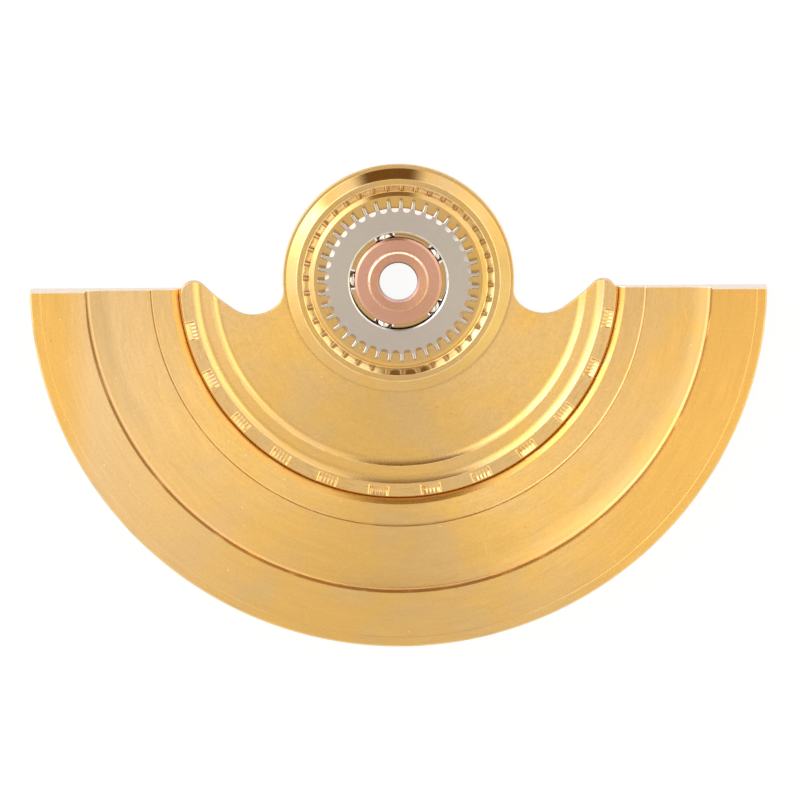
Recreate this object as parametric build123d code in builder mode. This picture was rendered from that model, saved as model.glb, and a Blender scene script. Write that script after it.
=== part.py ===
from build123d import *
from math import atan2, cos, degrees, radians, sin, sqrt, tan
import os

# Lengths are in millimetres and angles in degrees. The origin is on the bearing axis, in the plane
# of the outer face that the rotor lies on. Z rises to the geared side that faces the movement, and
# the weight hangs to -Y.

# Heavy segment: a half ring that steps down from its rim towards the middle
rotor_radius = 12.6
end_face_drop = 0.27  # the straight end faces lie this far below the bearing axis
segment_rim_height = 1.15
segment_rim_width = 1.78
segment_rim_draft = 0.02  # the outer wall leans in by this much over its height
segment_rim_bevel = 0.1
tall_step_lean = 0.03
tall_step_fillet = 0.11
segment_middle_height = 0.6
low_step_lean = 0.03
segment_inner_height = 0.5
segment_inner_width = 0.73
segment_bevel_width = 0.28
segment_bevel_foot = 0.27  # height at which the bevel meets the seat's wall
segment_edge_break = 0.03

# Seat of the segment in the carrier's rim: the rim's flange rests on a ledge of the segment
seat_radius = 7.47
ledge_width = 0.17
ledge_height = 0.24
joint_edge_break = 0.04

# Carrier plate, from its rim inwards
flange_height = 0.5
flange_width = 0.44
upper_fillet_width = 0.325
middle_flat_height = 0.38
middle_flat_width = 0.28
lower_fillet_width = 0.285
web_thickness = 0.26

# Boss round the bearing, from the gear outwards
boss_floor_height = 0.42
boss_floor_margin = 0.15  # the floor reaches this far past the tooth tips
groove_height = 0.33
groove_inner_width = 0.2
groove_outer_width = 0.225
boss_height = 0.46
boss_ring_width = 0.205
boss_slope_width = 0.3
boss_shelf_width = 0.08

# Bays beside the boss: a tight arc off the boss, a wide bottom arc, a straight flank and a lobe
bay_corner_radius = 0.72
bay_corner_angle = 4.5
bay_radius = 1.2
bay_turn_angle = 48
flank_angle = 40
lobe_radius = 0.45

# Stakes punched into the flange
stake_count = 12
stake_first_angle = 193.6
stake_pitch = 14.15
stake_width = 0.64
stake_length = 0.34
stake_depth = 0.06
stake_ridges = 2
stake_ridge_height = 0.03

# Ball bearing
ball_count = 5
ball_first_angle = 35
ball_diameter = 0.6
contact_angle = 50
race_clearance = 0.01
ring_gap = 0.17  # between the core's flange and the outer ring
race_land = 0.04
bearing_recess = 0.02  # the rings end this far inside the outer face
ring_wall = 0.15  # between the race's deepest point and the ring's seat
rivet_lip = 0.1
bore_edge_break = 0.03
bore_bevel_width = 0.055
bore_bevel_depth = 0.03

# Gear on the outer ring
tooth_count = 39
gear_shoulder_width = 0.265  # from the ring's seat to the roots of the teeth
tooth_depth = 0.31
tooth_gap_width = 0.27  # at the root
tooth_gap_rounding = 0.12
tooth_gap_flare = 15

# Core of the bearing and its cone ring, from the screw bore outwards
screw_bore_radius = 0.645
screw_bore_bevel = 0.06
screw_seat_width = 0.205
screw_seat_height = 0.6
core_tube_wall = 0.2
cone_ring_wall = 0.05
hub_width = 0.395
hub_rise = 0.18
hub_bevel = 0.07
core_flange_land = 0.04  # the flange stands this far above the outer ring
core_flange_bevel_width = 0.08
core_flange_bevel_depth = 0.06

# Ball cage
cage_clearance = 0.02
cage_thickness = 0.1
cage_crown_rise = 0.17
cage_crown_inset = 0.07  # from the cage's outer edge to the crown's
cage_pocket_clearance = 0.05

# Cutting tools run this far past what they cut
overrun = 0.5

# Radii of the carrier's rim, from its seat inwards
ledge_radius = seat_radius - ledge_width
flange_inner_radius = seat_radius - flange_width
middle_flat_outer_radius = flange_inner_radius - upper_fillet_width
middle_flat_inner_radius = middle_flat_outer_radius - middle_flat_width
web_outer_radius = middle_flat_inner_radius - lower_fillet_width

# Races: each is a cone through the ball's contact points, and its apex lies in the ball plane
ball_radius = ball_diameter / 2
race_tangent = tan(radians(contact_angle))
apex_offset = (ball_radius + race_clearance) / cos(radians(contact_angle))
screw_head_radius = screw_bore_radius + screw_seat_width
core_tube_radius = screw_head_radius + core_tube_wall
inner_apex_radius = core_tube_radius + cone_ring_wall
ball_circle_radius = inner_apex_radius + apex_offset
outer_apex_radius = ball_circle_radius + apex_offset
ring_bore_radius = ball_circle_radius + ring_gap / 2
core_flange_radius = ball_circle_radius - ring_gap / 2
race_half_height = (outer_apex_radius - ring_bore_radius) / race_tangent
ball_plane = bearing_recess + race_land + race_half_height
ring_top = ball_plane + race_half_height + race_land
ring_seat_radius = outer_apex_radius + ring_wall

# Radii of the boss, from the gear outwards
gear_root_radius = ring_seat_radius + gear_shoulder_width
gear_tip_radius = gear_root_radius + tooth_depth
boss_floor_radius = gear_tip_radius + boss_floor_margin
groove_radius = boss_floor_radius + groove_inner_width
boss_ring_inner_radius = groove_radius + groove_outer_width
boss_ring_outer_radius = boss_ring_inner_radius + boss_ring_width
boss_slope_foot_radius = boss_ring_outer_radius + boss_slope_width
boss_radius = boss_slope_foot_radius + boss_shelf_width


def arc_about(centre, start, end):
    """Draws the shorter arc from start to end about a centre."""
    radius = (start - centre).length
    middle = centre + (start - centre + end - centre).normalized() * radius
    return ThreePointArc(start, middle, end)


# Outline of the carrier: the right half's centres and points of tangency, then a mirror image
axis_point = Vector(0, 0)
corner_centre = Vector(boss_radius + bay_corner_radius, 0).rotate(Axis.Z, -bay_corner_angle)
corner_start = corner_centre.normalized() * boss_radius
turn_direction = Vector(1, 0).rotate(Axis.Z, bay_turn_angle)
bottom_centre = corner_centre + turn_direction * (bay_radius - bay_corner_radius)
bottom_start = corner_centre - turn_direction * bay_corner_radius
flank_direction = Vector(1, 0).rotate(Axis.Z, flank_angle)
flank_normal = Vector(0, -1).rotate(Axis.Z, flank_angle)
flank_start = bottom_centre + flank_normal * bay_radius
lobe_reach = seat_radius - lobe_radius
lobe_offset = flank_start.dot(flank_normal) + lobe_radius
lobe_travel = sqrt(lobe_reach**2 - lobe_offset**2)
lobe_centre = flank_normal * lobe_offset + flank_direction * lobe_travel
lobe_start = lobe_centre - flank_normal * lobe_radius
lobe_end = lobe_centre.normalized() * seat_radius

with BuildSketch() as plate_outline:
    with BuildLine() as right_half:
        arc_about(axis_point, Vector(0, boss_radius), corner_start)
        arc_about(corner_centre, corner_start, bottom_start)
        arc_about(bottom_centre, bottom_start, flank_start)
        Line(flank_start, lobe_start)
        arc_about(lobe_centre, lobe_start, lobe_end)
        arc_about(axis_point, lobe_end, Vector(0, -seat_radius))
        mirror(about=Plane.YZ)
    make_face()

# Air over the carrier: its lower edge is the turned upper side of the plate
air_top = boss_height + overrun
with BuildSketch(Plane.XZ) as air_over_plate:
    with BuildLine() as turned_side:
        Polyline(
            (0, boss_floor_height),
            (boss_floor_radius, boss_floor_height),
            (groove_radius, groove_height),
            (boss_ring_inner_radius, boss_height),
            (boss_ring_outer_radius, boss_height),
            (boss_slope_foot_radius, web_thickness),
            (web_outer_radius, web_thickness),
        )
        TangentArc(
            (web_outer_radius, web_thickness),
            (middle_flat_inner_radius, middle_flat_height),
            tangent=(1, 0),
        )
        Line(
            (middle_flat_inner_radius, middle_flat_height),
            (middle_flat_outer_radius, middle_flat_height),
        )
        TangentArc(
            (middle_flat_outer_radius, middle_flat_height),
            (flange_inner_radius, flange_height),
            tangent=(1, 0),
        )
        Polyline(
            (flange_inner_radius, flange_height),
            (seat_radius - joint_edge_break, flange_height),
            (seat_radius + overrun, flange_height - joint_edge_break - overrun),
            (seat_radius + overrun, air_top),
            (0, air_top),
            (0, boss_floor_height),
        )
    make_face()

# Hole for the bearing, flared at the outer face for the riveted lip of the outer ring
lip_top = bearing_recess + rivet_lip
with BuildSketch(Plane.XZ) as bearing_hole:
    Polygon(
        (0, -overrun),
        (ring_seat_radius + lip_top + overrun, -overrun),
        (ring_seat_radius, lip_top),
        (ring_seat_radius, air_top),
        (0, air_top),
        align=None,
    )

# Undercut of the flange, where the segment's ledge lies
with BuildSketch(Plane.XZ) as flange_undercut:
    Polygon(
        (ledge_radius - joint_edge_break - overrun, -overrun),
        (ledge_radius, joint_edge_break),
        (ledge_radius, ledge_height),
        (seat_radius + overrun, ledge_height),
        (seat_radius + overrun, -overrun),
        align=None,
    )

# One punch mark: its ridged floor sinks towards the rim, so its inner edge is scalloped
stake_tilt = degrees(atan2(stake_depth, stake_length))
stake_start = Vector(seat_radius - stake_length, 0, flange_height)
stake_plane = Plane(
    origin=stake_start,
    x_dir=(0, 1, 0),
    z_dir=(cos(radians(stake_tilt)), 0, -sin(radians(stake_tilt))),
)
ridge_step = stake_width / (2 * stake_ridges)
floor_points = [
    (-stake_width / 2 + ridge_step * index, stake_ridge_height * (index % 2))
    for index in range(2 * stake_ridges + 1)
]
with BuildPart() as stake_punch:
    with BuildSketch(stake_plane):
        Polygon(
            (-stake_width / 2, overrun),
            *floor_points,
            (stake_width / 2, overrun),
            align=None,
        )
    extrude(amount=stake_length + overrun)

with BuildPart() as rotor_plate:
    extrude(plate_outline.sketch, amount=air_top)
    revolve(air_over_plate.sketch, axis=Axis.Z, mode=Mode.SUBTRACT)
    revolve(bearing_hole.sketch, axis=Axis.Z, mode=Mode.SUBTRACT)
    revolve(flange_undercut.sketch, axis=Axis.Z, mode=Mode.SUBTRACT)
    stake_range = stake_pitch * (stake_count - 1)
    with PolarLocations(0, stake_count, stake_first_angle, stake_range, endpoint=True):
        add(stake_punch.part, mode=Mode.SUBTRACT)

# Section of the heavy segment
rim_top_radius = rotor_radius - segment_rim_draft - segment_rim_bevel
rim_inner_radius = rim_top_radius - segment_rim_width
middle_outer_radius = rim_inner_radius - tall_step_lean
bevel_top_radius = seat_radius + segment_bevel_width
inner_outer_radius = bevel_top_radius + segment_inner_width
with BuildPart() as heavy_segment:
    with BuildSketch(Plane.XZ) as segment_section:
        Polygon(
            (ledge_radius + joint_edge_break, 0),
            (rotor_radius - segment_edge_break, 0),
            (rotor_radius, segment_edge_break),
            (rotor_radius - segment_rim_draft, segment_rim_height - segment_rim_bevel),
            (rim_top_radius, segment_rim_height),
            (rim_inner_radius, segment_rim_height),
            (middle_outer_radius, segment_middle_height),
            (inner_outer_radius + low_step_lean, segment_middle_height),
            (inner_outer_radius, segment_inner_height),
            (bevel_top_radius, segment_inner_height),
            (seat_radius, segment_bevel_foot),
            (seat_radius, ledge_height),
            (ledge_radius, ledge_height),
            (ledge_radius, joint_edge_break),
            align=None,
        )
        foot_point = (middle_outer_radius, segment_middle_height)
        tall_step_foot = segment_section.vertices().sort_by_distance(foot_point)[0]
        fillet(tall_step_foot, tall_step_fillet)
    revolve(axis=Axis.Z)
    split(bisect_by=Plane.XZ.offset(end_face_drop), keep=Keep.TOP)

# Gap between two teeth, with a rounded root and flared flanks
flank_foot_radius = gear_root_radius + tooth_gap_rounding
flank_foot_side = tooth_gap_width / 2
gap_mouth_radius = gear_tip_radius + tooth_depth
gap_flare = tan(radians(tooth_gap_flare))
gap_mouth_side = flank_foot_side + (gap_mouth_radius - flank_foot_radius) * gap_flare
with BuildSketch() as tooth_gap:
    with BuildLine():
        ThreePointArc(
            (flank_foot_radius, -flank_foot_side),
            (gear_root_radius, 0),
            (flank_foot_radius, flank_foot_side),
        )
        Polyline(
            (flank_foot_radius, flank_foot_side),
            (gap_mouth_radius, gap_mouth_side),
            (gap_mouth_radius, -gap_mouth_side),
            (flank_foot_radius, -flank_foot_side),
        )
    make_face()

with BuildSketch(Plane.XY.offset(boss_floor_height)) as gear_outline:
    Circle(gear_tip_radius)
    with PolarLocations(0, tooth_count):
        add(tooth_gap.sketch, mode=Mode.SUBTRACT)

# Spigot of the outer ring, with the lip that is riveted into the plate
with BuildSketch(Plane.XZ) as ring_spigot:
    Polygon(
        (0, bearing_recess),
        (ring_seat_radius + rivet_lip, bearing_recess),
        (ring_seat_radius, lip_top),
        (ring_seat_radius, boss_floor_height),
        (0, boss_floor_height),
        align=None,
    )

# Bore of the outer ring, with the race as a groove between two cones
bore_flare = bore_edge_break + overrun
with BuildSketch(Plane.XZ) as ring_bore:
    Polygon(
        (0, bearing_recess - overrun),
        (ring_bore_radius + bore_flare, bearing_recess - overrun),
        (ring_bore_radius, bearing_recess + bore_edge_break),
        (ring_bore_radius, ball_plane - race_half_height),
        (outer_apex_radius, ball_plane),
        (ring_bore_radius, ball_plane + race_half_height),
        (ring_bore_radius, ring_top - bore_bevel_depth),
        (ring_bore_radius + bore_bevel_width, ring_top),
        (ring_bore_radius + bore_bevel_width, ring_top + overrun),
        (0, ring_top + overrun),
        align=None,
    )

with BuildPart() as outer_ring_gear:
    extrude(gear_outline.sketch, amount=ring_top - boss_floor_height)
    revolve(ring_spigot.sketch, axis=Axis.Z)
    revolve(ring_bore.sketch, axis=Axis.Z, mode=Mode.SUBTRACT)

# Core: tube, upper race, flange and raised hub, round the screw bore
core_flange_top = ring_top + core_flange_land
hub_top = core_flange_top + hub_rise
hub_radius = screw_bore_radius + hub_width
with BuildPart() as bearing_core:
    with BuildSketch(Plane.XZ):
        Polygon(
            (screw_head_radius, 0),
            (core_tube_radius, 0),
            (core_tube_radius, ball_plane),
            (inner_apex_radius, ball_plane),
            (core_flange_radius, ball_plane + race_half_height),
            (core_flange_radius, core_flange_top - core_flange_bevel_depth),
            (core_flange_radius - core_flange_bevel_width, core_flange_top),
            (hub_radius, core_flange_top),
            (hub_radius, hub_top - hub_bevel),
            (hub_radius - hub_bevel, hub_top),
            (screw_bore_radius + screw_bore_bevel, hub_top),
            (screw_bore_radius, hub_top - screw_bore_bevel),
            (screw_bore_radius, screw_seat_height),
            (screw_head_radius, screw_seat_height),
            align=None,
        )
    revolve(axis=Axis.Z)

with BuildPart() as cone_ring:
    with BuildSketch(Plane.XZ):
        Polygon(
            (core_tube_radius, bearing_recess),
            (core_flange_radius - bore_edge_break, bearing_recess),
            (core_flange_radius, bearing_recess + bore_edge_break),
            (core_flange_radius, ball_plane - race_half_height),
            (inner_apex_radius, ball_plane),
            (core_tube_radius, ball_plane),
            align=None,
        )
    revolve(axis=Axis.Z)

# Cage: a flat ring with a crown that stands between the balls, and a pocket for each ball
cage_outer_radius = ring_bore_radius - cage_clearance
crown_outer_radius = cage_outer_radius - cage_crown_inset
cage_low = ball_plane - cage_thickness / 2
cage_high = ball_plane + cage_thickness / 2
crown_top = cage_high + cage_crown_rise
cage_inner_radius = inner_apex_radius + cage_thickness / 2 * race_tangent + cage_clearance
crown_inner_radius = inner_apex_radius + (crown_top - ball_plane) * race_tangent + cage_clearance
with BuildPart() as ball_cage:
    with BuildSketch(Plane.XZ):
        Polygon(
            (cage_inner_radius, cage_low),
            (cage_outer_radius, cage_low),
            (cage_outer_radius, cage_high),
            (crown_outer_radius, cage_high),
            (crown_outer_radius, crown_top),
            (crown_inner_radius, crown_top),
            (cage_inner_radius, cage_high),
            align=None,
        )
    revolve(axis=Axis.Z)
    with BuildSketch(Plane.XY.offset(cage_low)):
        with PolarLocations(ball_circle_radius, ball_count, ball_first_angle):
            Circle(ball_radius + cage_pocket_clearance)
    extrude(amount=crown_top - cage_low, mode=Mode.SUBTRACT)

os.makedirs("parts", exist_ok=True)

pieces = {
    "rotor_plate": rotor_plate,
    "heavy_segment": heavy_segment,
    "outer_ring_gear": outer_ring_gear,
    "bearing_core": bearing_core,
    "cone_ring": cone_ring,
    "ball_cage": ball_cage,
}
for label, piece in pieces.items():
    piece.part.label = label
    export_step(piece.part, f"parts/{label}.step")

# Balls, each a node of its own
for index in range(ball_count):
    angle = radians(ball_first_angle + index * 360 / ball_count)
    centre = (ball_circle_radius * cos(angle), ball_circle_radius * sin(angle), ball_plane)
    with BuildPart() as ball:
        with Locations(centre):
            Sphere(ball_radius)
    ball.part.label = f"ball_{index + 1}"
    export_step(ball.part, f"parts/ball_{index + 1}.step")
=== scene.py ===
import random
from math import atan, atan2, cos, degrees, exp, pi, radians, sin, sqrt, tan

import bmesh
import bpy
from mathutils import Matrix, Vector


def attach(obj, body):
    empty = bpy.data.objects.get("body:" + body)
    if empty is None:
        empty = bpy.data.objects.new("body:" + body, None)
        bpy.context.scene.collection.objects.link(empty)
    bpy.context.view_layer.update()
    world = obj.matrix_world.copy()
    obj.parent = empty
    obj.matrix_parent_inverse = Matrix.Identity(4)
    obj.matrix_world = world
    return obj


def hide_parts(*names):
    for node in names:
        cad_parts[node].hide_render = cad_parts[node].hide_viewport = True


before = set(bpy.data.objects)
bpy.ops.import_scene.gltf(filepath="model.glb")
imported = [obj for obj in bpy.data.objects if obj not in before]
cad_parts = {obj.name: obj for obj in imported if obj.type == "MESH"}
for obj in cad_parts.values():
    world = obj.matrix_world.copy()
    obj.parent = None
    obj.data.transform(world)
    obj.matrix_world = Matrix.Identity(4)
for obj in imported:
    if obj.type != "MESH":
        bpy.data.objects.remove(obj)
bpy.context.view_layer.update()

# Sizes are in millimetres and angles in degrees, as in the part's source, until a mesh is made
METRES = 0.001

# Heavy segment
rotor_radius = 12.6
end_face_drop = 0.27
rim_height = 1.15
rim_width = 1.82
rim_draft = 0.02
rim_edge_round = 0.06
scribe_radius = 12.24
scribe_half_width = 0.018
scribe_depth = 0.008
tall_step_lean = 0.012
tall_step_fillet = 0.17
dish_width = 0.55
dish_rise = 0.11
dish_round = 3
middle_height = 0.6
low_step_lean = 0.01
low_step_fillet = 0.084
inner_height = 0.5
inner_width = 0.73
bevel_width = 0.28
bevel_round = 0.03
bevel_knee_width = 0.08
bevel_knee_height = 0.375
bevel_foot = 0.25
crevice_width = 0.055
crevice_foot_width = 0.012
end_edge_round = 0.012

# Seat between the segment and the carrier
seat_radius = 7.47
ledge_width = 0.17
ledge_height = 0.24
joint_edge_break = 0.04

# Carrier plate
flange_height = 0.5
flange_width = 0.44
upper_fillet_width = 0.325
middle_flat_height = 0.38
middle_flat_width = 0.28
lower_fillet_width = 0.285
web_thickness = 0.26
riser_height = 0.025
riser_lean = 0.004
boss_floor_height = 0.42
boss_floor_margin = 0.105
groove_height = 0.33
groove_inner_width = 0.15
groove_outer_width = 0.235
boss_height = 0.495
boss_ring_width = 0.2
boss_slope_width = 0.35
boss_shelf_width = 0.12
outline_round = 0.025

# Bays and lobes of the carrier
bay_corner_radius = 0.72
bay_corner_angle = 4.5
bay_radius = 1.2
bay_turn_angle = 48
flank_angle = 40
lobe_radius = 0.45

# Stakes
stake_count = 12
stake_first_angle = 193.6
stake_pitch = 14.15
stake_width = 0.64
stake_length = 0.37
stake_depth = 0.075
stake_rim_depth = 0.008
stake_slope_length = 0.16
stake_ridges = 5
stake_ridge_height = 0.014
stake_tooth_length = 0.05
stake_wall = 0.03
stake_burr_height = 0.01
stake_burr_width = 0.025

# Ball bearing
ball_count = 5
ball_diameter = 0.6
contact_angle = 50
race_clearance = 0.01
ring_gap = 0.17
race_land = 0.04
bearing_recess = 0.02
ring_wall = 0.15
rivet_lip = 0.1
bore_edge_break = 0.03
bore_bevel_width = 0.055
bore_bevel_depth = 0.03

# Gear
tooth_count = 39
gear_shoulder_width = 0.265
tooth_depth = 0.31
tooth_edge_round = 0.06
tooth_tip_width = 0.145
tooth_tip_round = 0.068
tooth_edge_run = 0.03
gap_root_width = 0.25
gap_wall_offset = 0.02
gap_bevel_length = 0.13
gap_bevel_angle = 45

# Core and cone ring
screw_bore_radius = 0.645
screw_bore_bevel = 0.06
screw_seat_width = 0.205
screw_seat_height = 0.6
core_tube_wall = 0.2
cone_ring_wall = 0.05
hub_width = 0.395
hub_rise = 0.18
hub_bevel = 0.07
hub_dish = 0.02
core_flange_land = 0.04
core_flange_bevel_width = 0.08
core_flange_bevel_depth = 0.06

# Radii that follow from these
rim_top_radius = rotor_radius - rim_draft - rim_edge_round
rim_inner_radius = rim_top_radius - rim_width
middle_outer_radius = rim_inner_radius - tall_step_lean
bevel_top_radius = seat_radius + bevel_width
inner_outer_radius = bevel_top_radius + inner_width
ledge_radius = seat_radius - ledge_width
flange_inner_radius = seat_radius - flange_width
middle_flat_outer_radius = flange_inner_radius - upper_fillet_width
middle_flat_inner_radius = middle_flat_outer_radius - middle_flat_width
web_outer_radius = middle_flat_inner_radius - lower_fillet_width
ball_radius = ball_diameter / 2
race_tangent = tan(radians(contact_angle))
apex_offset = (ball_radius + race_clearance) / cos(radians(contact_angle))
screw_head_radius = screw_bore_radius + screw_seat_width
core_tube_radius = screw_head_radius + core_tube_wall
inner_apex_radius = core_tube_radius + cone_ring_wall
ball_circle_radius = inner_apex_radius + apex_offset
outer_apex_radius = ball_circle_radius + apex_offset
ring_bore_radius = ball_circle_radius + ring_gap / 2
core_flange_radius = ball_circle_radius - ring_gap / 2
race_half_height = (outer_apex_radius - ring_bore_radius) / race_tangent
ball_plane = bearing_recess + race_land + race_half_height
ring_top = ball_plane + race_half_height + race_land
ring_seat_radius = outer_apex_radius + ring_wall
gear_root_radius = ring_seat_radius + gear_shoulder_width
gear_tip_radius = gear_root_radius + tooth_depth
boss_floor_radius = gear_tip_radius + boss_floor_margin
groove_radius = boss_floor_radius + groove_inner_width
boss_ring_inner_radius = groove_radius + groove_outer_width
boss_ring_outer_radius = boss_ring_inner_radius + boss_ring_width
boss_slope_foot_radius = boss_ring_outer_radius + boss_slope_width
boss_radius = boss_slope_foot_radius + boss_shelf_width
core_flange_top = ring_top + core_flange_land
hub_top = core_flange_top + hub_rise
hub_radius = screw_bore_radius + hub_width


class Shell:
    """A mesh in the making: equal points are shared, and each keeps one normal."""

    def __init__(self):
        self.numbers = {}
        self.points = []
        self.normals = []
        self.faces = []

    def point(self, place, normal):
        # Keys on three grids a third of a step apart, so that equal points share one of them
        keys = [(shift, *(round(v + shift, 4) for v in place)) for shift in (0, 3.3e-5, 6.7e-5)]
        known = [self.numbers[key] for key in keys if key in self.numbers]
        if known:
            return known[0]
        for key in keys:
            self.numbers[key] = len(self.points)
        self.points.append(Vector(place) * METRES)
        self.normals.append(Vector(normal).normalized())
        return len(self.points) - 1

    def face(self, numbers):
        kept = [n for index, n in enumerate(numbers) if n != numbers[index - 1]]
        if len(set(kept)) > 2:
            self.faces.append(kept)

    def grid(self, rows, closed=False):
        """Joins rows of (place, normal) by quads; closed joins each row's end to its start."""
        numbered = [[self.point(*item) for item in row] for row in rows]
        for low, high in zip(numbered, numbered[1:]):
            for index in range(0 if closed else 1, len(low)):
                self.face([low[index - 1], low[index], high[index], high[index - 1]])

    def make(self, name, body, node, material):
        mesh = bpy.data.meshes.new(name)
        mesh.from_pydata(self.points, [], self.faces)
        shape = bmesh.new()
        shape.from_mesh(mesh)
        bmesh.ops.recalc_face_normals(shape, faces=shape.faces)
        shape.to_mesh(mesh)
        shape.free()
        mesh.shade_smooth()
        mesh.normals_split_custom_set_from_vertices(self.normals)
        mesh.materials.append(material)
        piece = bpy.data.objects.new(name, mesh)
        bpy.context.scene.collection.objects.link(piece)
        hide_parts(node)
        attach(piece, body)
        return piece


def rounded(corners, solid_side=1, closed=True, most_turn=18):
    """(place, normal) along a line whose corners are rounded.

    corners holds (x, y, radius); solid_side is 1 if the solid is on the left of the line.
    """
    count = len(corners)
    line = []
    for index, (x, y, radius) in enumerate(corners):
        corner = Vector((x, y))
        if not closed and index in (0, count - 1):
            other = corners[1] if index == 0 else corners[-2]
            along = Vector(other[:2]) - corner
            along = along.normalized() if index == 0 else -along.normalized()
            line.append((corner, Vector((along.y, -along.x)) * solid_side))
            continue
        before = (corner - Vector(corners[index - 1][:2])).normalized()
        after = (Vector(corners[(index + 1) % count][:2]) - corner).normalized()
        turn = atan2(before.cross(after), before.dot(after))
        start = corner - before * radius * tan(abs(turn) / 2)
        side = 1 if turn > 0 else -1
        centre = start + Vector((-before.y, before.x)) * radius * side
        steps = max(1, round(degrees(abs(turn)) / most_turn))
        for step in range(steps + 1):
            way = Matrix.Rotation(turn * step / steps, 2) @ before
            right = Vector((way.y, -way.x))
            line.append((centre + right * radius * side, right * solid_side))
    return line


def turned(line, angle):
    """(place, normal) of each point of a profile, turned about the axis to an angle."""
    x, y = cos(radians(angle)), sin(radians(angle))
    return [((p.x * x, p.x * y, p.y), (n.x * x, n.x * y, n.y)) for p, n in line]


def lathe(shell, line, columns):
    """A closed profile turned all the way round."""
    closed_line = line + line[:1]
    rows = [turned(closed_line, 360 * index / columns) for index in range(columns + 1)]
    shell.grid(rows)


# Materials
def node(tree, kind, **settings):
    """A shader node whose named attributes are set."""
    made = tree.nodes.new(kind)
    for name, value in settings.items():
        setattr(made, name, value)
    return made


def feed(tree, socket, value):
    """Links an output to an input, or sets the input to a plain value."""
    if isinstance(value, bpy.types.NodeSocket):
        tree.links.new(value, socket)
    else:
        socket.default_value = value


def maths(tree, operation, *values):
    made = node(tree, "ShaderNodeMath", operation=operation)
    for socket, value in zip(made.inputs, values):
        feed(tree, socket, value)
    return made.outputs[0]


def vector_maths(tree, operation, *values):
    made = node(tree, "ShaderNodeVectorMath", operation=operation)
    for socket, value in zip(made.inputs, values):
        feed(tree, socket, value)
    return made.outputs["Value" if operation == "LENGTH" else "Vector"]


def noise(tree, vector, scale, detail=2.0):
    made = node(tree, "ShaderNodeTexNoise")
    feed(tree, made.inputs["Vector"], vector)
    made.inputs["Scale"].default_value = scale
    made.inputs["Detail"].default_value = detail
    return made.outputs[0]


def between(tree, value, low, high, to_low=0.0, to_high=1.0):
    """A value taken smoothly from one range to another."""
    made = node(tree, "ShaderNodeMapRange", interpolation_type="SMOOTHSTEP")
    for name, given in (("Value", value), ("From Min", low), ("From Max", high)):
        feed(tree, made.inputs[name], given)
    for name, given in (("To Min", to_low), ("To Max", to_high)):
        feed(tree, made.inputs[name], given)
    return made.outputs["Result"]


def blend(tree, factor, first, second):
    """Two colours mixed by a factor."""
    made = node(tree, "ShaderNodeMix", data_type="RGBA")
    feed(tree, made.inputs["Factor"], factor)
    for socket, value in ((made.inputs[6], first), (made.inputs[7], second)):
        feed(tree, socket, value if isinstance(value, bpy.types.NodeSocket) else (*value, 1))
    return made.outputs[2]


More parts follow.
